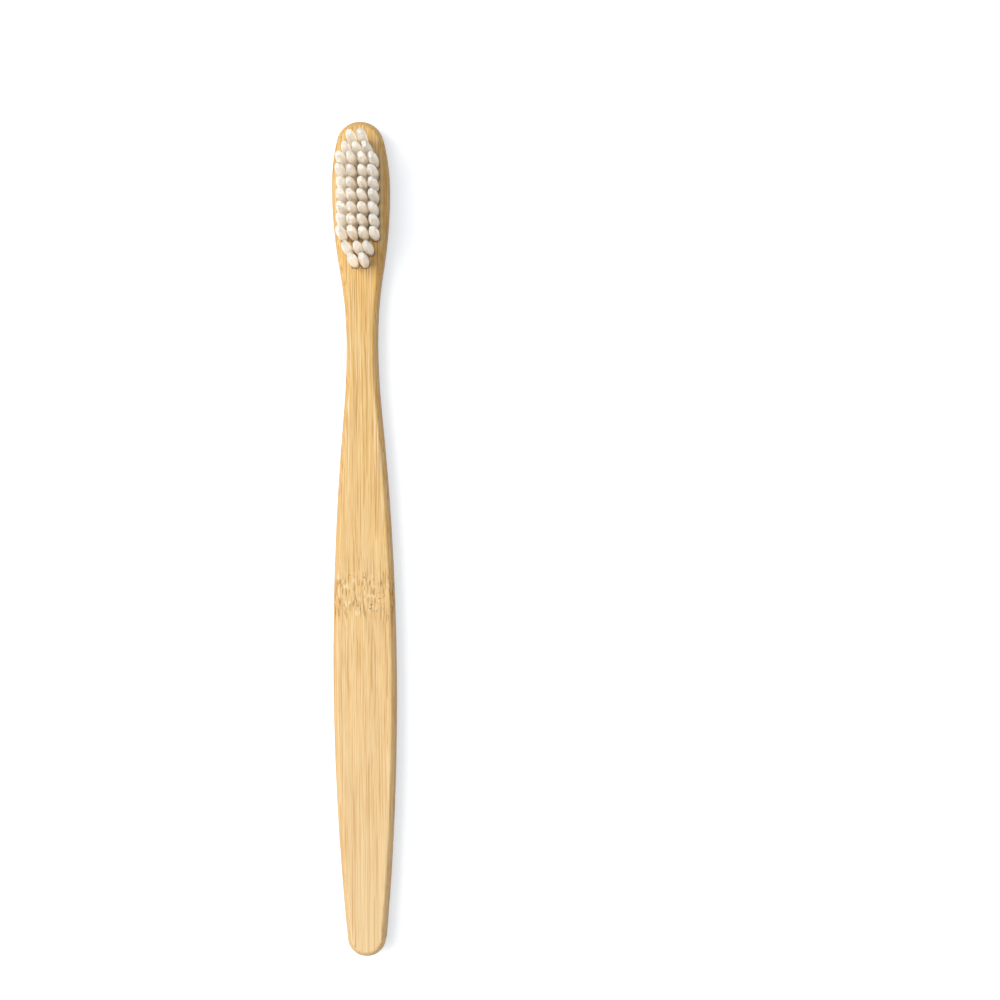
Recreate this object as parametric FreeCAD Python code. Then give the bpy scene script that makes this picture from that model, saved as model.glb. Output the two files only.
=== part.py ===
import FreeCAD, Part
import math
import os

# Manual toothbrush: a flat bamboo handle with tufts of nylon held in drilled holes by metal anchors.
# Millimetres. The handle lies on its back on z = 0, the bristles point to +Z and the head to +Y.
# The origin is under the middle of the handle's length and width.
# Stations are distances along the handle from the end of the head.

# Handle
LENGTH = 175.0
THICKNESS = 5.5

# Sanded edges of the handle: a bevel whose corners are rounded
EDGE_BEVEL = 0.9
EDGE_ROUND = 0.6

# Plan of the handle: its widths at the three places where its sides run straight along it
HEAD_WIDTH = 12.0
HEAD_STATION = 13.8
NECK_WIDTH = 6.4
NECK_STATION = 46.4
GRIP_WIDTH = 13.1
GRIP_STATION = 116.9

# Radii of the two rounded ends, as shares of half the width that they close
HEAD_END_ROUND_SHARE = 0.83
TAIL_END_ROUND_SHARE = 0.61

# How much of each S-shaped side belongs to its first arc
HEAD_TO_NECK_SHARE = 0.53
NECK_TO_GRIP_SHARE = 0.21

# Drilled holes, in rows across the head, counted from its end
ROW_COUNTS = (2, 3, 4, 4, 4, 4, 4, 4, 4, 3, 2)
FIRST_ROW_STATION = 5.0
HOLE_DIAMETER = 1.7
HOLE_DEPTH = 3.2
WALL_ACROSS = 0.5
WALL_ALONG = 0.82
DRILL_POINT_ANGLE = 120.0

# The full rows sit nearer to the end of the head than an even pitch would put them
FULL_ROWS_SHIFT = 0.55

# Tufts: the fold fills the hole, the bundle is slimmer at its mouth, spreads to a belly and narrows to its tip
BRISTLE_HEIGHT = 10.0
ROOT_CLEARANCE = 0.03
MOUTH_CLEARANCE = 0.1
BELLY_HEIGHT = 4.5
BELLY_GAP = 0.14
TIP_DIAMETER = 1.36
TIP_DOME = 0.4

# Anchors: flat plates that stand on edge across the hole and bite into its wall
ANCHOR_HEIGHT = 1.4
ANCHOR_THICKNESS = 0.25
ANCHOR_BITE = 0.2

# How far a cutting tool runs past the face that it starts from
CUT_OVERRUN = 1.0

# Sizes that follow from those above
HOLE_RADIUS = HOLE_DIAMETER / 2
COLUMN_PITCH = HOLE_DIAMETER + WALL_ACROSS
ROW_PITCH = HOLE_DIAMETER + WALL_ALONG
HOLE_FLOOR_Z = THICKNESS - HOLE_DEPTH
FOLD_AXIS_Z = HOLE_FLOOR_Z + HOLE_RADIUS
ANCHOR_TOP_Z = FOLD_AXIS_Z + ANCHOR_HEIGHT
ANCHOR_LENGTH = HOLE_DIAMETER + 2 * ANCHOR_BITE
TIP_Z = THICKNESS + BRISTLE_HEIGHT

# The anchors lie towards the diagonal neighbour, where the wood between the holes is thickest
ANCHOR_ANGLE = math.degrees(math.atan2(ROW_PITCH, COLUMN_PITCH))

ORIGIN = FreeCAD.Vector(0, 0, 0)
ACROSS = FreeCAD.Vector(1, 0, 0)
UP = FreeCAD.Vector(0, 0, 1)


def on_plan(half_width, station):
    """Point of the plan at a half width and a distance from the end of the head."""
    return FreeCAD.Vector(half_width, LENGTH / 2 - station, 0)


def arc_about(centre, start, end):
    """Arc of less than half a turn about a centre."""
    radius = (start - centre).Length
    middle = (start - centre) + (end - centre)
    middle.normalize()
    return Part.Arc(start, centre + middle * radius, end).toShape()


def end_arc(end_centre, end_radius, widest):
    """Side arc that lies along the handle at its widest point and runs smoothly into an end circle.

    Returns the arc and the point where it meets the circle.
    """
    along = abs(widest.y - end_centre.y)
    spare = 2 * (widest.x - end_radius)
    radius = (along ** 2 + widest.x ** 2 - end_radius ** 2) / spare
    centre = widest - ACROSS * radius
    outward = end_centre - centre
    outward.normalize()
    meeting = end_centre + outward * end_radius
    return arc_about(centre, widest, meeting), meeting


def s_curve(start, end, first_share):
    """Two opposite arcs, smooth where they meet, that lie along the handle at both outer ends."""
    across = end.x - start.x
    along = start.y - end.y
    both_radii = (across ** 2 + along ** 2) / (2 * abs(across))
    side = ACROSS * math.copysign(1, across)
    first_centre = start + side * both_radii * first_share
    second_centre = end - side * both_radii * (1 - first_share)
    meeting = first_centre + (second_centre - first_centre) * first_share
    return [arc_about(first_centre, start, meeting), arc_about(second_centre, meeting, end)]


def mirrored(point):
    """The same point on the other side of the handle."""
    return FreeCAD.Vector(-point.x, point.y, point.z)


def handle_outline():
    """Closed plan of the handle: round head end, cheeks, neck, grip and round tail end."""
    head_radius = HEAD_END_ROUND_SHARE * HEAD_WIDTH / 2
    tail_radius = TAIL_END_ROUND_SHARE * GRIP_WIDTH / 2
    head = on_plan(HEAD_WIDTH / 2, HEAD_STATION)
    neck = on_plan(NECK_WIDTH / 2, NECK_STATION)
    grip = on_plan(GRIP_WIDTH / 2, GRIP_STATION)
    cheek, head_meeting = end_arc(on_plan(0, head_radius), head_radius, head)
    taper, tail_meeting = end_arc(on_plan(0, LENGTH - tail_radius), tail_radius, grip)
    side = [cheek, taper]
    side += s_curve(head, neck, HEAD_TO_NECK_SHARE)
    side += s_curve(neck, grip, NECK_TO_GRIP_SHARE)
    other_side = [edge.mirror(ORIGIN, ACROSS) for edge in side]
    head_end = Part.Arc(mirrored(head_meeting), on_plan(0, 0), head_meeting).toShape()
    tail_end = Part.Arc(mirrored(tail_meeting), on_plan(0, LENGTH), tail_meeting).toShape()
    edges = side + other_side + [head_end, tail_end]
    return Part.Wire(Part.__sortEdges__(edges))


def turned_profile(edges):
    """Solid of a closed profile in the XZ plane, turned about the Z axis."""
    face = Part.Face(Part.Wire(edges))
    return face.revolve(ORIGIN, UP, 360)


def chain(points):
    """Straight edges through a list of (radius, height) points."""
    corners = [FreeCAD.Vector(radius, 0, height) for radius, height in points]
    return [Part.makeLine(start, end) for start, end in zip(corners, corners[1:])]


def plate(height, low_z):
    """Upright plate across the hole, as long and as thick as an anchor, turned to its angle."""
    corner = FreeCAD.Vector(-ANCHOR_LENGTH / 2, -ANCHOR_THICKNESS / 2, low_z)
    solid = Part.makeBox(ANCHOR_LENGTH, ANCHOR_THICKNESS, height, corner)
    solid.rotate(ORIGIN, UP, ANCHOR_ANGLE)
    return solid


def hole_cutter():
    """Drilled hole with a pointed floor, and the slit that the anchor cuts on its way in."""
    point_depth = HOLE_RADIUS / math.tan(math.radians(DRILL_POINT_ANGLE / 2))
    start_z = THICKNESS + CUT_OVERRUN
    drill = turned_profile(chain([
        (0, HOLE_FLOOR_Z - point_depth),
        (HOLE_RADIUS, HOLE_FLOOR_Z),
        (HOLE_RADIUS, start_z),
        (0, start_z),
        (0, HOLE_FLOOR_Z - point_depth),
    ]))
    slit = plate(start_z - FOLD_AXIS_Z, FOLD_AXIS_Z)
    return drill.fuse(slit)


def anchor():
    """Flat metal plate that stands on the fold of the tuft."""
    return plate(ANCHOR_HEIGHT, FOLD_AXIS_Z)


def tuft():
    """Bundle of filaments, folded round under its anchor and trimmed to a dome at the tip."""
    root_radius = HOLE_RADIUS - ROOT_CLEARANCE
    mouth_radius = HOLE_RADIUS - MOUTH_CLEARANCE
    belly_radius = (min(COLUMN_PITCH, ROW_PITCH) - BELLY_GAP) / 2
    tip_radius = TIP_DIAMETER / 2
    dome_radius = (tip_radius ** 2 + TIP_DOME ** 2) / (2 * TIP_DOME)
    mouth = FreeCAD.Vector(mouth_radius, 0, THICKNESS)
    belly = FreeCAD.Vector(belly_radius, 0, THICKNESS + BELLY_HEIGHT)
    rim = FreeCAD.Vector(tip_radius, 0, TIP_Z - TIP_DOME)
    top = FreeCAD.Vector(0, 0, TIP_Z)
    edges = chain([
        (0, TIP_Z),
        (0, HOLE_FLOOR_Z),
        (root_radius, HOLE_FLOOR_Z),
        (root_radius, ANCHOR_TOP_Z),
        (mouth_radius, THICKNESS),
    ])
    edges.append(Part.Arc(mouth, belly, rim).toShape())
    edges.append(arc_about(top - UP * dome_radius, rim, top))
    bundle = turned_profile(edges)
    return bundle.cut(below_fold()).cut(anchor())


def below_fold():
    """What the round fold leaves free at the floor of the hole: a block without a lying cylinder."""
    reach = HOLE_RADIUS + CUT_OVERRUN
    corner = FreeCAD.Vector(-HOLE_RADIUS, -reach, HOLE_FLOOR_Z)
    block = Part.makeBox(HOLE_DIAMETER, 2 * reach, HOLE_RADIUS, corner)
    start = FreeCAD.Vector(-reach, 0, FOLD_AXIS_Z)
    fold = Part.makeCylinder(HOLE_RADIUS, 2 * reach, start, ACROSS)
    space = block.cut(fold)
    space.rotate(ORIGIN, UP, ANCHOR_ANGLE)
    return space


def tuft_places():
    """For each row, the plan positions of its holes, from left to right."""
    rows = []
    for row, count in enumerate(ROW_COUNTS):
        station = FIRST_ROW_STATION + row * ROW_PITCH
        if count == max(ROW_COUNTS):
            station -= FULL_ROWS_SHIFT
        offsets = [(column - (count - 1) / 2) * COLUMN_PITCH for column in range(count)]
        rows.append([on_plan(offset, station) for offset in offsets])
    return rows


def level_edges(board):
    """Edges of the board that keep to one height, so none that runs from one of its levels to the next."""
    return [edge for edge in board.Edges if edge.BoundBox.ZLength < EDGE_BEVEL / 2]


def handle(rows):
    """Bamboo board with sanded edges and all its holes."""
    board = Part.Face(handle_outline()).extrude(UP * THICKNESS)
    board = board.makeChamfer(EDGE_BEVEL, level_edges(board))
    board = board.makeFillet(EDGE_ROUND, level_edges(board))
    cutter = hole_cutter()
    cutters = [cutter.translated(place) for row in rows for place in row]
    return board.cut(cutters)


def main():
    os.makedirs("parts", exist_ok=True)
    rows = tuft_places()
    handle(rows).exportStep("parts/handle.step")
    bundle = tuft()
    fastener = anchor()
    for row, places in enumerate(rows, start=1):
        for column, place in enumerate(places, start=1):
            bundle.translated(place).exportStep(f"parts/tuft_row{row:02d}_{column}.step")
        group = Part.makeCompound([fastener.translated(place) for place in places])
        group.exportStep(f"parts/anchors_row{row:02d}.step")


main()
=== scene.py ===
"""Flat bamboo toothbrush: sanded bamboo, tufts of nylon filaments, brass anchors and a plain studio."""
import math

import bpy
import numpy as np
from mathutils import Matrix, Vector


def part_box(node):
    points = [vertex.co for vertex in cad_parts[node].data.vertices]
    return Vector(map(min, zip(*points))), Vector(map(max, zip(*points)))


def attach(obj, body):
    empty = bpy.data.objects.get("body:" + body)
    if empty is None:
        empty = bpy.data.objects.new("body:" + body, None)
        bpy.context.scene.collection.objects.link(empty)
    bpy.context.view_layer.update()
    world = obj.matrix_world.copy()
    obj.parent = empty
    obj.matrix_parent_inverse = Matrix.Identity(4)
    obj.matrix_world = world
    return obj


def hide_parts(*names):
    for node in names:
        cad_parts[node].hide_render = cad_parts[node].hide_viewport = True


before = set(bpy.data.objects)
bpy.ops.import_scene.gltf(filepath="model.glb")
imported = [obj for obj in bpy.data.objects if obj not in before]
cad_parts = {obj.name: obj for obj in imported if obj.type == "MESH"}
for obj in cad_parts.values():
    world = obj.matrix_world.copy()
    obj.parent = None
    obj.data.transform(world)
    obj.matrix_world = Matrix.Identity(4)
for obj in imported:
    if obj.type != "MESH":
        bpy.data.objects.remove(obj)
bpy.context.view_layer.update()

bl_info = {
    "name": "Bamboo Toothbrush",
    "version": (1, 0, 0),
    "blender": (4, 5, 0),
    "location": "3D View > Sidebar > Toothbrush",
    "description": "Finishes a flat bamboo toothbrush and fills its holes with nylon filaments",
    "category": "Object",
}

MM = 0.001

# Places that the frame gives
HANDLE_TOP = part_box("handle")[1]
FACE_Z = HANDLE_TOP.z
HEAD_END_Y = HANDLE_TOP.y
TUFT_NODES = sorted(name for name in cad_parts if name.startswith("tuft_"))
ANCHOR_NODES = sorted(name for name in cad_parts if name.startswith("anchors_"))
TUFT_ROWS = sorted({name.split("_")[1] for name in TUFT_NODES})
TIP_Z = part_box(TUFT_NODES[0])[1].z
FOLD_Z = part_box(ANCHOR_NODES[0])[0].z

# Radius of a folded bundle in its hole
ROOT_RADIUS = 0.82 * MM

# Rings of filament ends round the middle one of a tip: 6, 12, 18 and 24 ends, and the outer 24 filaments
# are the ridges of the side. Each ridge has four steps across.
END_RINGS = 4
RIDGES = 6 * END_RINGS
SEGMENTS = 4 * RIDGES

# Radius of a tip, counted in cells: half of the middle one, and the rings
TIP_CELLS = END_RINGS + 0.5

# Rings of vertices in a bundle's fold, up its side and from the rim of its tip to the middle
FOLD_RINGS = 4
SIDE_RINGS = 12
TIP_RINGS = 4 * END_RINGS + 2

# Tone of the darkest filaments, where the lightest have 1
DARKEST_TONE = 0.6

# Patches in which the bamboo's strands wander sideways, in millimetres, and how far they do
DRIFT_PATCH = (6, 35, 6)
DRIFT = 0.8 * MM

# Below the joint of the cane, the strands' pattern is stretched by this times the square of the distance
GRAIN_STRETCH = 6.2

# Patches of the finest fibres, of the joint's ragged edge and of its spots, in millimetres
FIBRE_PATCH = (0.14, 5, 0.14)
RAG_PATCH = (0.8, 9, 3)
SPOT_PATCH = (1.5, 1.5, 1.5)

# Where the joint and its surroundings start to fade and where they end, as shares of the joint's length
JOINT_FADE = (0.35, 0.6)
AROUND_FADE = (0.3, 1.6)

# How much of the joint shows at the back, and the share of the thickness from which all of it shows
JOINT_AT_BACK = 0.2
JOINT_WHOLE = 0.8

# Places along the handle between which the tissue turns paler, and the strands fainter
PALER_FROM, PALER_TO = 50 * MM, -80 * MM
FAINTER_FROM, FAINTER_TO = 40 * MM, -60 * MM
FAINTEST = 0.65

# How far the back takes on its own colour, and how far painted shade darkens the bevels and sides
BACK_TINT = 0.5
SIDE_SHADE = 0.4

# Layers of the bamboo's pattern, each over the ones before: colour, kind of coordinates, width, length and
# depth of a patch in millimetres, noise where the tint starts and where it is full, strength, and mask
BAMBOO_LAYERS = (
    # Broad soft stripes, pale lines, the finest fibres, strands and a few long hairlines
    ("strand_colour", "grain", (2.4, 90, 2.4), 0.4, 0.8, 0.15, "all over"),
    ("pale_colour", "grain", (0.24, 40, 0.24), 0.48, 0.66, 0.85, "fainter"),
    ("strand_colour", "grain", FIBRE_PATCH, 0.45, 0.8, 0.5, "all over"),
    ("strand_colour", "grain", (0.2, 18, 0.2), 0.54, 0.68, 1, "fainter"),
    ("knot_colour", "grain", (0.22, 130, 0.22), 0.68, 0.73, 0.7, "all over"),
    # Darker stripes at the back
    ("strand_colour", "grain", (0.6, 150, 0.6), 0.52, 0.62, 0.7, "back"),
    ("knot_colour", "grain", (0.35, 170, 0.35), 0.6, 0.68, 0.7, "back"),
    # Dashes that crowd towards the joint, and the joint's stains, pale spots and short marks
    ("knot_colour", "grain", (0.36, 6, 0.36), 0.58, 0.67, 0.65, "around"),
    ("stain_colour", "place", (2, 1.7, 2), 0.52, 0.7, 0.5, "joint"),
    ("pale_colour", "place", (1.2, 1.8, 2), 0.54, 0.7, 0.8, "joint"),
    ("knot_colour", "grain", (0.3, 2, 0.6), 0.56, 0.65, 0.85, "joint"),
)

# Index of refraction of bamboo and of nylon
BAMBOO_IOR = 1.53
NYLON_IOR = 1.53

# Half the width of the floor in metres, and its gap under the brush
FLOOR_REACH = 3.0
FLOOR_GAP = 0.02 * MM

# What is added to the floor for the camera near the brush and far from it, and where the change lies
LIFT_NEAR, LIFT_FAR = 0.5, 1
LIFT_FROM, LIFT_TO = 300 * MM, 900 * MM

# Size of the lamps and their distance from the brush in metres, and where they stand
LAMP_SIZE = 0.7
LAMP_DISTANCE = 0.9
KEY_DIRECTION = (-0.606, 0.107, 0.788)
TOP_DIRECTION = (0, 0, 1)

# Nearest thing that the camera sees
CAMERA_CLIP = 10 * MM

# Sockets of a colour Mix node, which has sockets of the same name for other kinds of data
MIX_FACTOR, MIX_A, MIX_B, MIX_RESULT = 0, 6, 7, 2


def linear(code):
    """Linear red, green and blue of an sRGB hex colour such as #F0CA8E."""
    shares = np.array([int(code[at:at + 2], 16) for at in (1, 3, 5)]) / 255
    return tuple(np.where(shares <= 0.04045, shares / 12.92, ((shares + 0.055) / 1.055) ** 2.4))


def per(patch):
    """Pattern repeats per metre, along each axis, for a patch with these sizes in millimetres."""
    return tuple(1 / (size * MM) for size in patch)


def colour_property(label, words, code):
    """Colour setting whose default is an sRGB hex colour."""
    return bpy.props.FloatVectorProperty(
        name=label, description=words, default=linear(code), subtype="COLOR", size=3, min=0, max=1)


def length_property(label, words, millimetres):
    """Length setting whose default is given in millimetres."""
    return bpy.props.FloatProperty(
        name=label, description=words, default=millimetres * MM, unit="LENGTH", precision=5)


def angle_property(label, words, degrees):
    """Angle setting whose default is given in degrees."""
    return bpy.props.FloatProperty(
        name=label, description=words, default=math.radians(degrees), subtype="ANGLE")


def level_property(label, words, level):
    """Brightness setting, which is never negative."""
    return bpy.props.FloatProperty(name=label, description=words, default=level, min=0)


class BambooSettings(bpy.types.PropertyGroup):
    """Colours of the handle, and the joint of the cane that it was cut across."""
    neck_colour: colour_property("Neck", "Plain tissue near the neck", "#EEC06E")
    tail_colour: colour_property("Tail", "Plain tissue near the tail, which is paler", "#F9D79F")
    back_colour: colour_property("Back", "Plain tissue at the back, nearer to the cane's skin", "#E0AC60")
    pale_colour: colour_property("Pale lines", "Soft tissue between the strands", "#FBE4B4")
    strand_colour: colour_property("Strands", "Fibre strands, darker than the tissue", "#C48A3E")
    stain_colour: colour_property("Stains", "Darker tissue in the joint", "#E2AE62")
    knot_colour: colour_property("Knot marks", "Twisted strands in the joint, and hairlines", "#A5731C")
    spot_colour: colour_property("Spots", "Ends of strands that turn up to the joint's surface", "#6E4E2B")
    # This colour is painted shade on the bevels, sides and ends
    side_shade_colour: colour_property("Edges", "Cut strands in the bevels and sides, which are darker", "#B87A2C")
    joint_station: length_property("Joint of the cane", "Distance of the joint from the end of the head", 99)
    joint_length: length_property("Length of the joint", "How much of the handle the joint takes up", 8)


class BristleSettings(bpy.types.PropertyGroup):
    """Bundles of filaments that the tufts are."""
    light_colour: colour_property("Light filaments", "Crests of the lightest filaments", "#F0EBE2")
    # Colour of the painted shade in the grooves between the filaments
    groove_shade_colour: colour_property("Grooves", "Grooves between the filaments", "#CCBEA9")
    mouth_radius: length_property("Mouth radius", "Radius of the bundle at the mouth of its hole", 0.64)
    belly_radius: length_property("Belly radius", "Radius of the bundle at its belly", 1.03)
    belly_height: length_property("Belly height", "Height of the belly above the front of the handle", 4.5)
    tip_radius: length_property("Tip radius", "Radius of the bundle at its trimmed tip", 0.68)
    dome: length_property("Dome", "How much lower the outer ends lie than the middle one", 0.45)
    groove: length_property("Groove depth", "How deep the grooves between the rounded ends are", 0.07)
    uneven: length_property("Unevenness", "How much shorter than the dome a filament can end", 0.04)
    lean_left: angle_property("Lean to the left", "How far the bundles lean to the left", 1)
    lean_up: angle_property("Lean to the end", "How far the bundles lean to the end of the head", 2.2)
    stray: angle_property("Stray", "How far the lean of one bundle can be off", 1)
    light_depth: length_property("Depth of light", "How far light wanders through a bundle", 7)
    seed: bpy.props.IntProperty(name="Seed", description="Start of the random draws", default=7)


class AnchorSettings(bpy.types.PropertyGroup):
    """Metal plates in the holes."""
    colour: colour_property("Brass", "Rolled brass strip", "#D3B26A")


class StageSettings(bpy.types.PropertyGroup):
    """Camera, lamps and floor."""
    camera_x: length_property("Camera across", "Place of the camera across the handle", 28.7)
    camera_y: length_property("Camera along", "Place of the camera along the handle", 7.9)
    camera_height: length_property("Camera height", "Height of the camera above the floor", 330)
    picture_width: length_property("Picture width", "What the picture spans at half the thickness", 210.8)
    camera_roll: angle_property("Camera roll", "Turn of the camera about its line of sight", -0.5)
    key_level: level_property("Key lamp", "Brightness that the side lamp gives a white floor", 0.64)
    top_level: level_property("Top lamp", "Brightness that the overhead lamp gives a white floor", 0.34)
    fill_level: level_property("Fill", "Brightness that the surroundings give a white floor", 0.2)
    floor_colour: colour_property("Floor", "Pale paper floor", "#E8E8E8")
    lift_colour: colour_property("Lift", "What is added to the floor for the camera, a cool white", "#EEF7FF")


def node(tree, kind, inputs=None, **settings):
    """Add one shader node. Settings are its attributes, inputs its sockets: values or nodes' outputs."""
    made = tree.nodes.new(kind)
    for name, value in settings.items():
        setattr(made, name, value)
    for socket, value in (inputs or {}).items():
        if isinstance(value, bpy.types.NodeSocket):
            tree.links.new(value, made.inputs[socket])
        else:
            made.inputs[socket].default_value = value
    return made


def opaque(colour):
    """A colour with full alpha, as a colour socket wants it."""
    return (*colour, 1)


def new_material(name):
    """Empty material with its node tree and its output node."""
    material = bpy.data.materials.new(name)
    material.use_nodes = True
    tree = material.node_tree
    tree.nodes.clear()
    return material, tree, node(tree, "ShaderNodeOutputMaterial")


def stretched_noise(tree, place, patch, detail=2):
    """Noise pattern whose patches have these sizes in millimetres."""
    scaled = node(tree, "ShaderNodeVectorMath", {0: place, 1: per(patch)}, operation="MULTIPLY")
    return node(tree, "ShaderNodeTexNoise", {"Vector": scaled.outputs[0], "Scale": 1, "Detail": detail})


def stained(tree, under, tint, noise, starts, full, strength, within):
    """Colour with a tint over it, which grows from where the noise starts to run high to where it is full.

    A mask, if there is one, keeps the tint within a part of the surface.
    """
    share = node(tree, "ShaderNodeMapRange", {
        "Value": noise.outputs["Fac"], "From Min": starts, "From Max": full, "To Max": strength})
    if within is not None:
        share = node(tree, "ShaderNodeMath", {0: share.outputs[0], 1: within}, operation="MULTIPLY")
    over = node(tree, "ShaderNodeMix", {
        MIX_FACTOR: share.outputs[0], MIX_A: under, MIX_B: opaque(tint)}, data_type="RGBA")
    return over.outputs[MIX_RESULT]


def bamboo_sanded(looks):
    """Planed and sanded bamboo: pale tissue with long thin darker strands, matt, with a joint of the cane.

    The pattern is solid, so the faces, the bevels and the ends all cut the same strands: streaks along the
    handle and dots at its ends. It is darker at the back, which was nearer to the skin of the cane.
    """
    material, tree, output = new_material("bamboo_planed_and_sanded")
    coordinates = node(tree, "ShaderNodeTexCoord")
    place = coordinates.outputs["Object"]
    axes = node(tree, "ShaderNodeSeparateXYZ", {0: place})

    # Strands wander a little sideways
    drift = stretched_noise(tree, place, DRIFT_PATCH)
    drift = node(tree, "ShaderNodeVectorMath", {
        0: drift.outputs["Color"], 1: (0.5, 0.5, 0.5)}, operation="SUBTRACT")
    grain = node(tree, "ShaderNodeVectorMath", {
        0: drift.outputs[0], 1: (DRIFT, 0, DRIFT), 2: place}, operation="MULTIPLY_ADD")

    # Below the joint they run on for longer and longer
    past = node(tree, "ShaderNodeMath", {
        0: axes.outputs["Y"], 1: HEAD_END_Y - looks.joint_station}, operation="SUBTRACT")
    below = node(tree, "ShaderNodeMath", {0: past.outputs[0], 1: 0}, operation="MINIMUM")
    below = node(tree, "ShaderNodeMath", {0: below.outputs[0], 1: below.outputs[0]}, operation="MULTIPLY")
    grain = node(tree, "ShaderNodeVectorMath", {
        0: below.outputs[0], 1: (0, GRAIN_STRETCH, 0), 2: grain.outputs[0]}, operation="MULTIPLY_ADD")
    patterns = {"place": place, "grain": grain.outputs[0]}

    # The joint has a ragged edge and shows less at the back, and its surroundings reach further
    rag = stretched_noise(tree, place, RAG_PATCH)
    rag = node(tree, "ShaderNodeMath", {0: rag.outputs["Fac"], 1: 0.5}, operation="SUBTRACT")
    away = node(tree, "ShaderNodeMath", {
        0: rag.outputs[0], 1: looks.joint_length, 2: past.outputs[0]}, operation="MULTIPLY_ADD")
    away = node(tree, "ShaderNodeMath", {0: away.outputs[0]}, operation="ABSOLUTE")
    front = node(tree, "ShaderNodeMapRange", {
        "Value": axes.outputs["Z"], "From Min": 0, "From Max": JOINT_WHOLE * FACE_Z, "To Min": JOINT_AT_BACK})
    joint, around = (node(tree, "ShaderNodeMapRange", {
        "Value": away.outputs[0], "From Min": looks.joint_length * near, "From Max": looks.joint_length * far,
        "To Min": front.outputs[0], "To Max": 0}, interpolation_type="SMOOTHSTEP")
        for near, far in (JOINT_FADE, AROUND_FADE))

    # Plain tissue: paler towards the tail, darker towards the back
    to_tail = node(tree, "ShaderNodeMapRange", {
        "Value": axes.outputs["Y"], "From Min": PALER_FROM, "From Max": PALER_TO})
    to_back, back_tint = (node(tree, "ShaderNodeMapRange", {
        "Value": axes.outputs["Z"], "From Min": FACE_Z, "From Max": 0, "To Max": most})
        for most in (1, BACK_TINT))
    colour = node(tree, "ShaderNodeMix", {
        MIX_FACTOR: to_tail.outputs[0], MIX_A: opaque(looks.neck_colour), MIX_B: opaque(looks.tail_colour)},
        data_type="RGBA")
    colour = node(tree, "ShaderNodeMix", {
        MIX_FACTOR: back_tint.outputs[0], MIX_A: colour.outputs[MIX_RESULT],
        MIX_B: opaque(looks.back_colour)}, data_type="RGBA").outputs[MIX_RESULT]

    # Strands stand out less towards the tail
    fainter = node(tree, "ShaderNodeMapRange", {
        "Value": axes.outputs["Y"], "From Min": FAINTER_FROM, "From Max": FAINTER_TO,
        "To Min": 1, "To Max": FAINTEST})
    masks = {
        "all over": None,
        "back": to_back.outputs[0],
        "fainter": fainter.outputs[0],
        "joint": joint.outputs[0],
        "around": around.outputs[0],
    }
    for tint, pattern, patch, starts, full, strength, mask in BAMBOO_LAYERS:
        noise = stretched_noise(tree, patterns[pattern], patch)
        colour = stained(tree, colour, getattr(looks, tint), noise, starts, full, strength, masks[mask])

    # Small dark spots in the joint
    spots = node(tree, "ShaderNodeVectorMath", {0: place, 1: per(SPOT_PATCH)}, operation="MULTIPLY")
    spots = node(tree, "ShaderNodeTexVoronoi", {"Vector": spots.outputs[0], "Scale": 1})
    spot = node(tree, "ShaderNodeMapRange", {
        "Value": spots.outputs["Distance"], "From Min": 0.06, "From Max": 0.16, "To Min": 0.9, "To Max": 0})
    spot = node(tree, "ShaderNodeMath", {0: spot.outputs[0], 1: joint.outputs[0]}, operation="MULTIPLY")
    colour = node(tree, "ShaderNodeMix", {
        MIX_FACTOR: spot.outputs[0], MIX_A: colour, MIX_B: opaque(looks.spot_colour)}, data_type="RGBA")

    # Painted shade on the bevels, sides and ends, where the surface turns away from the two faces
    facing = node(tree, "ShaderNodeSeparateXYZ", {0: coordinates.outputs["Normal"]})
    facing = node(tree, "ShaderNodeMath", {0: facing.outputs["Z"]}, operation="ABSOLUTE")
    painted_side_shade = node(tree, "ShaderNodeMapRange", {
        "Value": facing.outputs[0], "From Min": 0.95, "From Max": 0.2, "To Max": SIDE_SHADE})
    colour = node(tree, "ShaderNodeMix", {
        MIX_FACTOR: painted_side_shade.outputs[0], MIX_A: colour.outputs[MIX_RESULT], MIX_B: opaque(looks.side_shade_colour)},
        data_type="RGBA")

    # The finest fibres stand up a little from the sanding
    fibre = stretched_noise(tree, grain.outputs[0], FIBRE_PATCH).outputs["Fac"]
    roughness = node(tree, "ShaderNodeMapRange", {
        "Value": fibre, "From Min": 0.3, "From Max": 0.7, "To Min": 0.5, "To Max": 0.64})
    bump = node(tree, "ShaderNodeBump", {"Height": fibre, "Strength": 0.25, "Distance": 0.03 * MM})
    shader = node(tree, "ShaderNodeBsdfPrincipled", {
        "Base Color": colour.outputs[MIX_RESULT], "Roughness": roughness.outputs[0],
        "Normal": bump.outputs[0], "IOR": BAMBOO_IOR})
    tree.links.new(shader.outputs[0], output.inputs["Surface"])
    return material


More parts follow.
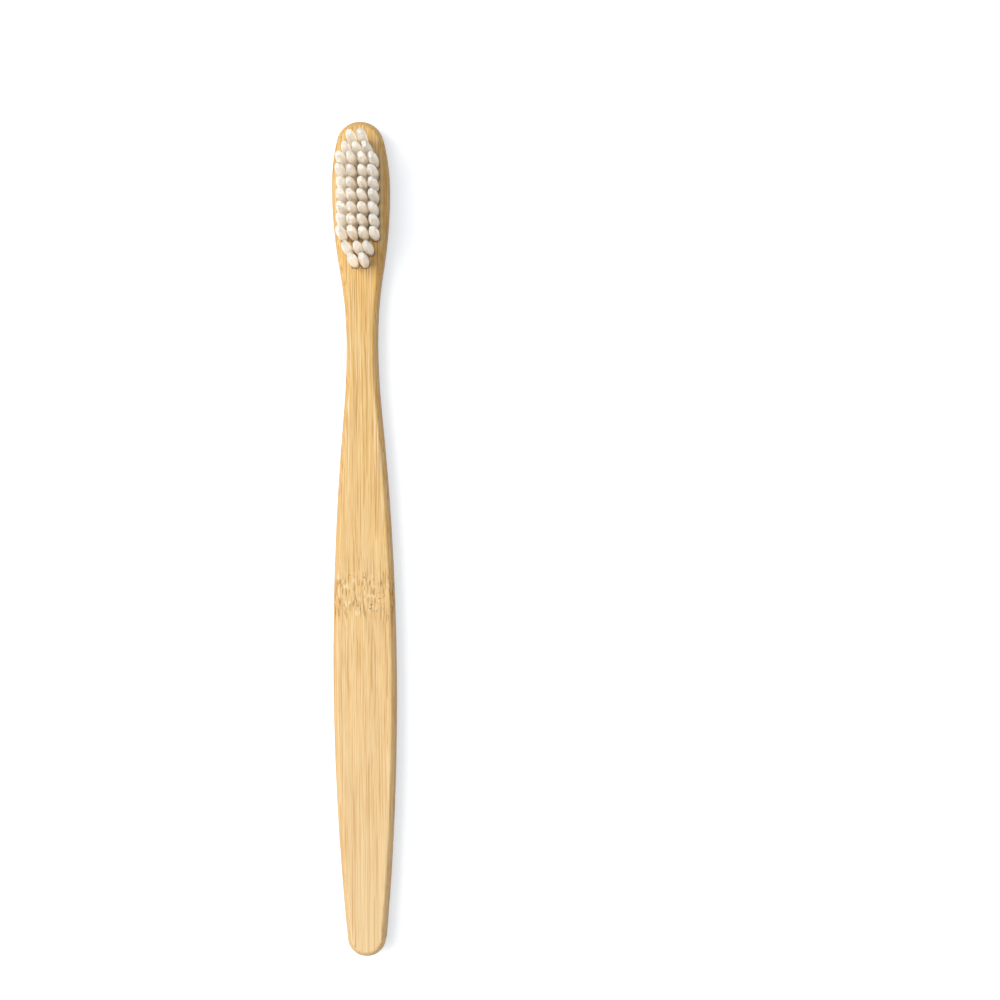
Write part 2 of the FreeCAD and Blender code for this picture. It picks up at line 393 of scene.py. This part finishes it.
def nylon_drawn(looks):
    """Drawn nylon filament: off-white and smooth, each filament a tone of its own, with painted shade in its
    grooves.

    Light wanders through a bundle, so its shaded side stays bright and turns warm.
    """
    material, tree, output = new_material("nylon_drawn_filament")
    # The tone attribute holds each filament's random tone, with painted shade in the grooves and between the
    # ends
    tone = node(tree, "ShaderNodeAttribute", attribute_name="tone")
    colour = node(tree, "ShaderNodeMix", {
        MIX_FACTOR: tone.outputs["Fac"], MIX_A: opaque(looks.groove_shade_colour),
        MIX_B: opaque(looks.light_colour)}, data_type="RGBA")
    place = node(tree, "ShaderNodeTexCoord").outputs["Object"]
    # Draw marks are far finer than this; they are drawn at about a quarter of a filament so that they show
    draw = stretched_noise(tree, place, (0.06, 0.06, 1.5), detail=1)
    roughness = node(tree, "ShaderNodeMapRange", {
        "Value": draw.outputs["Fac"], "From Min": 0.3, "From Max": 0.7, "To Min": 0.32, "To Max": 0.48})
    shader = node(tree, "ShaderNodeBsdfPrincipled", {
        "Base Color": colour.outputs[MIX_RESULT], "Roughness": roughness.outputs[0], "IOR": NYLON_IOR,
        "Subsurface Weight": 1, "Subsurface Radius": (1, 0.86, 0.72), "Subsurface Scale": looks.light_depth},
        subsurface_method="BURLEY")
    tree.links.new(shader.outputs[0], output.inputs["Surface"])
    return material


def brass_rolled(looks):
    """Rolled brass strip: yellow metal with fine straight roll marks along the strip."""
    material, tree, output = new_material("brass_rolled_strip")
    place = node(tree, "ShaderNodeTexCoord").outputs["Object"]
    # Roll marks are finer than this; they are drawn at a tenth of a millimetre so that they show
    rolled = stretched_noise(tree, place, (2, 2, 0.1)).outputs["Fac"]
    roughness = node(tree, "ShaderNodeMapRange", {
        "Value": rolled, "From Min": 0.3, "From Max": 0.7, "To Min": 0.22, "To Max": 0.42})
    bump = node(tree, "ShaderNodeBump", {"Height": rolled, "Strength": 0.2, "Distance": 0.01 * MM})
    shader = node(tree, "ShaderNodeBsdfPrincipled", {
        "Base Color": opaque(looks.colour), "Metallic": 1, "Roughness": roughness.outputs[0],
        "Normal": bump.outputs[0]})
    tree.links.new(shader.outputs[0], output.inputs["Surface"])
    return material


def paper_floor(looks):
    """Matt white paper. What the camera and reflections see of it is lifted to white, and keeps the shadow.

    Far from the brush, where the lamps reach less of it, it is lifted more, so that no horizon shows.
    """
    material, tree, output = new_material("paper_matt_white")
    light_path = node(tree, "ShaderNodeLightPath")
    seen = node(tree, "ShaderNodeMath", {
        0: light_path.outputs["Is Camera Ray"], 1: light_path.outputs["Is Glossy Ray"]}, operation="MAXIMUM")
    seen = node(tree, "ShaderNodeMath", {
        0: seen.outputs[0], 1: light_path.outputs["Is Transmission Ray"]}, operation="MAXIMUM")
    place = node(tree, "ShaderNodeTexCoord").outputs["Object"]
    away = node(tree, "ShaderNodeVectorMath", {0: place}, operation="LENGTH")
    lift = node(tree, "ShaderNodeMapRange", {
        "Value": away.outputs["Value"], "From Min": LIFT_FROM, "From Max": LIFT_TO,
        "To Min": LIFT_NEAR, "To Max": LIFT_FAR})
    lift = node(tree, "ShaderNodeMath", {0: seen.outputs[0], 1: lift.outputs[0]}, operation="MULTIPLY")
    paper = node(tree, "ShaderNodeBsdfDiffuse", {"Color": opaque(looks.floor_colour)})
    glow = node(tree, "ShaderNodeEmission", {
        "Color": opaque(looks.lift_colour), "Strength": lift.outputs[0]})
    both = node(tree, "ShaderNodeAddShader", {0: paper.outputs[0], 1: glow.outputs[0]})
    tree.links.new(both.outputs[0], output.inputs["Surface"])
    return material


def soft_box(name, level, toward):
    """Square area lamp in a direction from the origin, which gives a white floor about this brightness."""
    light = bpy.data.lights.new(name, "AREA")
    light.size = LAMP_SIZE
    light.energy = level * math.pi ** 2 * LAMP_DISTANCE ** 2 / toward[2]
    lamp = bpy.data.objects.new(name, light)
    lamp.location = np.array(toward) * LAMP_DISTANCE
    lamp.rotation_mode = "QUATERNION"
    lamp.rotation_quaternion = lamp.location.to_track_quat("Z", "Y")
    bpy.context.scene.collection.objects.link(lamp)


def dress(thing, material):
    """Give an object one material in place of those that it has."""
    thing.data.materials.clear()
    thing.data.materials.append(material)


def side_outline(angle):
    """Outline of a ring of circles that touch, seen from above, as shares of its reach.

    At an angle away from the middle of a circle, it is the distance from the axis to the circle's far side.
    """
    touch = math.sin(math.pi / RIDGES)
    circle = touch / (1 + touch)
    ridge = (angle + math.pi / RIDGES) % (2 * math.pi / RIDGES) - math.pi / RIDGES
    reach = circle ** 2 - ((1 - circle) * np.sin(ridge)) ** 2
    return (1 - circle) * np.cos(ridge) + np.sqrt(np.maximum(reach, 0))


def side_rings(looks):
    """Radius and height of the rings of a bundle, from its fold up to the rim of its tip.

    The fold is a quarter circle turned about the axis. From the mouth of the hole to the rim the radius is
    a parabola of the height, through the radii of the mouth, the belly and the tip.
    """
    turn = np.linspace(0, math.pi / 2, FOLD_RINGS + 1)[1:]
    rim = TIP_Z - looks.dome - looks.groove - looks.uneven
    height = np.linspace(FACE_Z, rim, SIDE_RINGS)
    known = [FACE_Z, FACE_Z + looks.belly_height, rim]
    barrel = np.polyfit(known, [looks.mouth_radius, looks.belly_radius, looks.tip_radius], 2)
    return (np.concatenate([ROOT_RADIUS * np.sin(turn), np.polyval(barrel, height)]),
            np.concatenate([FOLD_Z - ROOT_RADIUS * np.cos(turn), height]))


def bundle_faces(levels, count):
    """Faces of closed bundles whose vertices are rings from the fold up, and then the two poles.

    There are four-sided faces between the rings, and a fan of three-sided ones at each pole.
    """
    low = levels * SEGMENTS
    high = low + 1
    last = low - SEGMENTS
    segment = np.arange(SEGMENTS)
    following = (segment + 1) % SEGMENTS
    level = np.arange(levels - 1)[:, None] * SEGMENTS
    above = level + SEGMENTS
    walls = np.stack([level + segment, level + following, above + following, above + segment], axis=2)
    foot = np.stack([np.full(SEGMENTS, low), following, segment], axis=1)
    crown = np.stack([np.full(SEGMENTS, high), last + segment, last + following], axis=1)
    first = np.arange(count)[:, None, None] * (high + 1)
    faces = []
    for part in (walls.reshape(-1, 4), foot, crown):
        faces += (first + part).reshape(-1, part.shape[1]).tolist()
    return faces


def bundle_arrays(looks, places, rng):
    """Closed surfaces round the filaments of tufts at these places: vertices, faces and vertices' tones.

    The side has the outline of a ring of filaments. The tip is a ball's cap, cut into rings of cells, one for
    each filament; over the middle of its cell an end rises as half a ball. Each filament has a random tone,
    which painted shade takes to nothing in the grooves of the side and to half between the ends, and each end
    stops a random length short. From the front of the handle up, each bundle leans by the same angles and a
    random stray.
    """
    angle = np.arange(SEGMENTS) * 2 * math.pi / SEGMENTS
    outline = side_outline(angle)

    # Cells of the tip: rings from the rim inwards, with six more cells in each ring further out
    out = np.linspace(1, 0, TIP_RINGS + 1)[:-1, None]
    cell_ring = np.rint(out * TIP_CELLS).clip(0, END_RINGS)
    cells = np.maximum(6 * cell_ring, 1)
    turn = angle / (2 * math.pi) * cells
    cell = np.rint(turn)
    aside = np.where(cell_ring > 0, turn - cell, 0)
    outward = out * TIP_CELLS - cell_ring
    inner = np.where(cell_ring < END_RINGS, outward, np.minimum(outward, 0))
    end, painted_end_light = (np.sqrt(np.maximum(1 - 4 * (aside ** 2 + along ** 2), 0)) for along in (outward, inner))
    ball = (looks.tip_radius ** 2 + looks.dome ** 2) / (2 * looks.dome)
    cap = np.sqrt(ball ** 2 - (out * looks.tip_radius) ** 2) - ball + TIP_Z
    ring_of = cell_ring.astype(int)
    cell_of = (cell % cells).astype(int)

    # Random draws: a length and a tone for each filament, and a stray for each bundle
    count = len(places)
    short = rng.random((count, END_RINGS + 1, RIDGES))
    tone = rng.uniform(DARKEST_TONE, 1, (count, END_RINGS + 1, RIDGES))
    stray = looks.stray * rng.uniform(-1, 1, (count, 1, 2))

    tip_radius = out * looks.tip_radius * (1 - (1 - outline) * out ** 4)
    tip_z = cap - looks.groove * (1 - end) - looks.uneven * short[:, ring_of, cell_of]
    # Painted shade: the tone halves between the rounded ends and falls to nothing in the grooves of the side
    tip_tone_and_shade = tone[:, ring_of, cell_of] * (1 + painted_end_light) / 2
    painted_crest_light = (outline - outline.min()) / np.ptp(outline)
    side_tone_and_shade = tone[:, ring_of[:1], cell_of[:1]] * painted_crest_light

    side_radius, side_z = side_rings(looks)
    sides = (count, len(side_radius), SEGMENTS)
    radius = np.concatenate([side_radius[:, None] * outline, tip_radius])
    height = np.concatenate([np.broadcast_to(side_z[:, None], sides), tip_z], axis=1)
    tones = np.concatenate([np.broadcast_to(side_tone_and_shade, sides), tip_tone_and_shade], axis=1).reshape(count, -1)
    rings = np.stack(np.broadcast_arrays(radius * np.cos(angle), radius * np.sin(angle), height), axis=3)
    poles = np.zeros((count, 2, 3))
    poles[:, 0, 2] = FOLD_Z - ROOT_RADIUS
    poles[:, 1, 2] = TIP_Z - looks.uneven * short[:, 0, 0]
    points = np.concatenate([rings.reshape(count, -1, 3), poles], axis=1)
    tones = np.concatenate([tones, tone[:, 0, :1], tone[:, 0, :1]], axis=1)
    lean = np.tan(np.array([-looks.lean_left, looks.lean_up]) + stray)
    points[:, :, :2] += places[:, None] + lean * np.maximum(points[:, :, 2:] - FACE_Z, 0)
    return points.reshape(-1, 3), bundle_faces(len(radius), count), tones.ravel()


def mesh_object(name, points, faces):
    """Object at the origin whose mesh has these vertices and faces, smoothly shaded."""
    mesh = bpy.data.meshes.new(name)
    mesh.from_pydata(points, [], faces)
    mesh.shade_smooth()
    mesh.update()
    thing = bpy.data.objects.new(name, mesh)
    bpy.context.scene.collection.objects.link(thing)
    return thing


class TOOTHBRUSH_OT_handle(bpy.types.Operator):
    """Give the bamboo handle its grain."""
    bl_idname = "toothbrush.handle"
    bl_label = "Finish the handle"

    def execute(self, context):
        dress(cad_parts["handle"], bamboo_sanded(context.scene.toothbrush_bamboo))
        return {"FINISHED"}


class TOOTHBRUSH_OT_tufts(bpy.types.Operator):
    """Fill the holes, row by row, with bundles of folded filaments.

    The bundles of a row are one mesh, because light wanders from one to the next.
    """
    bl_idname = "toothbrush.tufts"
    bl_label = "Make the tufts"

    def execute(self, context):
        looks = context.scene.toothbrush_bristle
        nylon = nylon_drawn(looks)
        for number, row in enumerate(TUFT_ROWS):
            names = [name for name in TUFT_NODES if name.split("_")[1] == row]
            places = np.array([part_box(name) for name in names])[:, :, :2].mean(axis=1)
            rng = np.random.default_rng([looks.seed, number])
            points, faces, tones = bundle_arrays(looks, places, rng)
            piece = mesh_object("bundles_" + row, points, faces)
            piece.data.attributes.new("tone", "FLOAT", "POINT").data.foreach_set("value", tones)
            dress(piece, nylon)
            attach(piece, "root")
            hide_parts(*names)
        return {"FINISHED"}


class TOOTHBRUSH_OT_anchors(bpy.types.Operator):
    """Give the anchors in the holes their metal."""
    bl_idname = "toothbrush.anchors"
    bl_label = "Finish the anchors"

    def execute(self, context):
        brass = brass_rolled(context.scene.toothbrush_anchor)
        for name in ANCHOR_NODES:
            dress(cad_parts[name], brass)
        return {"FINISHED"}


class TOOTHBRUSH_OT_stage(bpy.types.Operator):
    """Lay the floor, set the lamps and place the camera."""
    bl_idname = "toothbrush.stage"
    bl_label = "Set the stage"

    def execute(self, context):
        looks = context.scene.toothbrush_stage
        scene = context.scene
        scene.view_settings.view_transform = "Standard"

        square = np.array([[-1, -1, 0], [1, -1, 0], [1, 1, 0], [-1, 1, 0]])
        floor = mesh_object("floor", square * FLOOR_REACH - (0, 0, FLOOR_GAP), [[0, 1, 2, 3]])
        dress(floor, paper_floor(looks))

        # The surroundings light the brush softly, and the camera sees them white
        world = bpy.data.worlds.new("plain_room")
        world.use_nodes = True
        tree = world.node_tree
        tree.nodes.clear()
        light_path = node(tree, "ShaderNodeLightPath")
        level = node(tree, "ShaderNodeMapRange", {
            "Value": light_path.outputs["Is Camera Ray"], "To Min": looks.fill_level, "To Max": 1})
        room = node(tree, "ShaderNodeBackground", {"Color": (1, 1, 1, 1), "Strength": level.outputs[0]})
        tree.links.new(room.outputs[0], node(tree, "ShaderNodeOutputWorld").inputs["Surface"])
        scene.world = world

        soft_box("key", looks.key_level, KEY_DIRECTION)
        soft_box("top", looks.top_level, TOP_DIRECTION)

        camera = bpy.data.cameras.new("camera")
        camera.lens = camera.sensor_width * (looks.camera_height - FACE_Z / 2) / looks.picture_width
        camera.clip_start = CAMERA_CLIP
        eye = bpy.data.objects.new("camera", camera)
        eye.location = (looks.camera_x, looks.camera_y, looks.camera_height)
        eye.rotation_euler = (0, 0, looks.camera_roll)
        scene.collection.objects.link(eye)
        scene.camera = eye
        return {"FINISHED"}


class TOOTHBRUSH_PT_panel(bpy.types.Panel):
    """Lists the settings and steps of the toothbrush."""
    bl_label = "Toothbrush"
    bl_idname = "TOOTHBRUSH_PT_panel"
    bl_space_type = "VIEW_3D"
    bl_region_type = "UI"
    bl_category = "Toothbrush"

    def draw(self, context):
        for name, step in STEPS.items():
            box = self.layout.box()
            settings = getattr(context.scene, name)
            for key in settings.bl_rna.properties.keys():
                if key not in ("name", "rna_type"):
                    box.prop(settings, key)
            box.operator(step.bl_idname)


# Settings on the scene, and the step that reads each group of them
GROUPS = {
    "toothbrush_stage": StageSettings,
    "toothbrush_bamboo": BambooSettings,
    "toothbrush_bristle": BristleSettings,
    "toothbrush_anchor": AnchorSettings,
}
STEPS = {
    "toothbrush_stage": TOOTHBRUSH_OT_stage,
    "toothbrush_bamboo": TOOTHBRUSH_OT_handle,
    "toothbrush_bristle": TOOTHBRUSH_OT_tufts,
    "toothbrush_anchor": TOOTHBRUSH_OT_anchors,
}


def register():
    """Add the settings, the steps and the panel."""
    for name, group in GROUPS.items():
        bpy.utils.register_class(group)
        setattr(bpy.types.Scene, name, bpy.props.PointerProperty(type=group))
    for step in STEPS.values():
        bpy.utils.register_class(step)
    bpy.utils.register_class(TOOTHBRUSH_PT_panel)


def unregister():
    """Take away the panel, the steps and the settings."""
    bpy.utils.unregister_class(TOOTHBRUSH_PT_panel)
    for step in STEPS.values():
        bpy.utils.unregister_class(step)
    for name, group in GROUPS.items():
        delattr(bpy.types.Scene, name)
        bpy.utils.unregister_class(group)


def main():
    """Run all steps."""
    register()
    bpy.ops.toothbrush.stage()
    bpy.ops.toothbrush.handle()
    bpy.ops.toothbrush.tufts()
    bpy.ops.toothbrush.anchors()


if __name__ == "__main__":
    main()
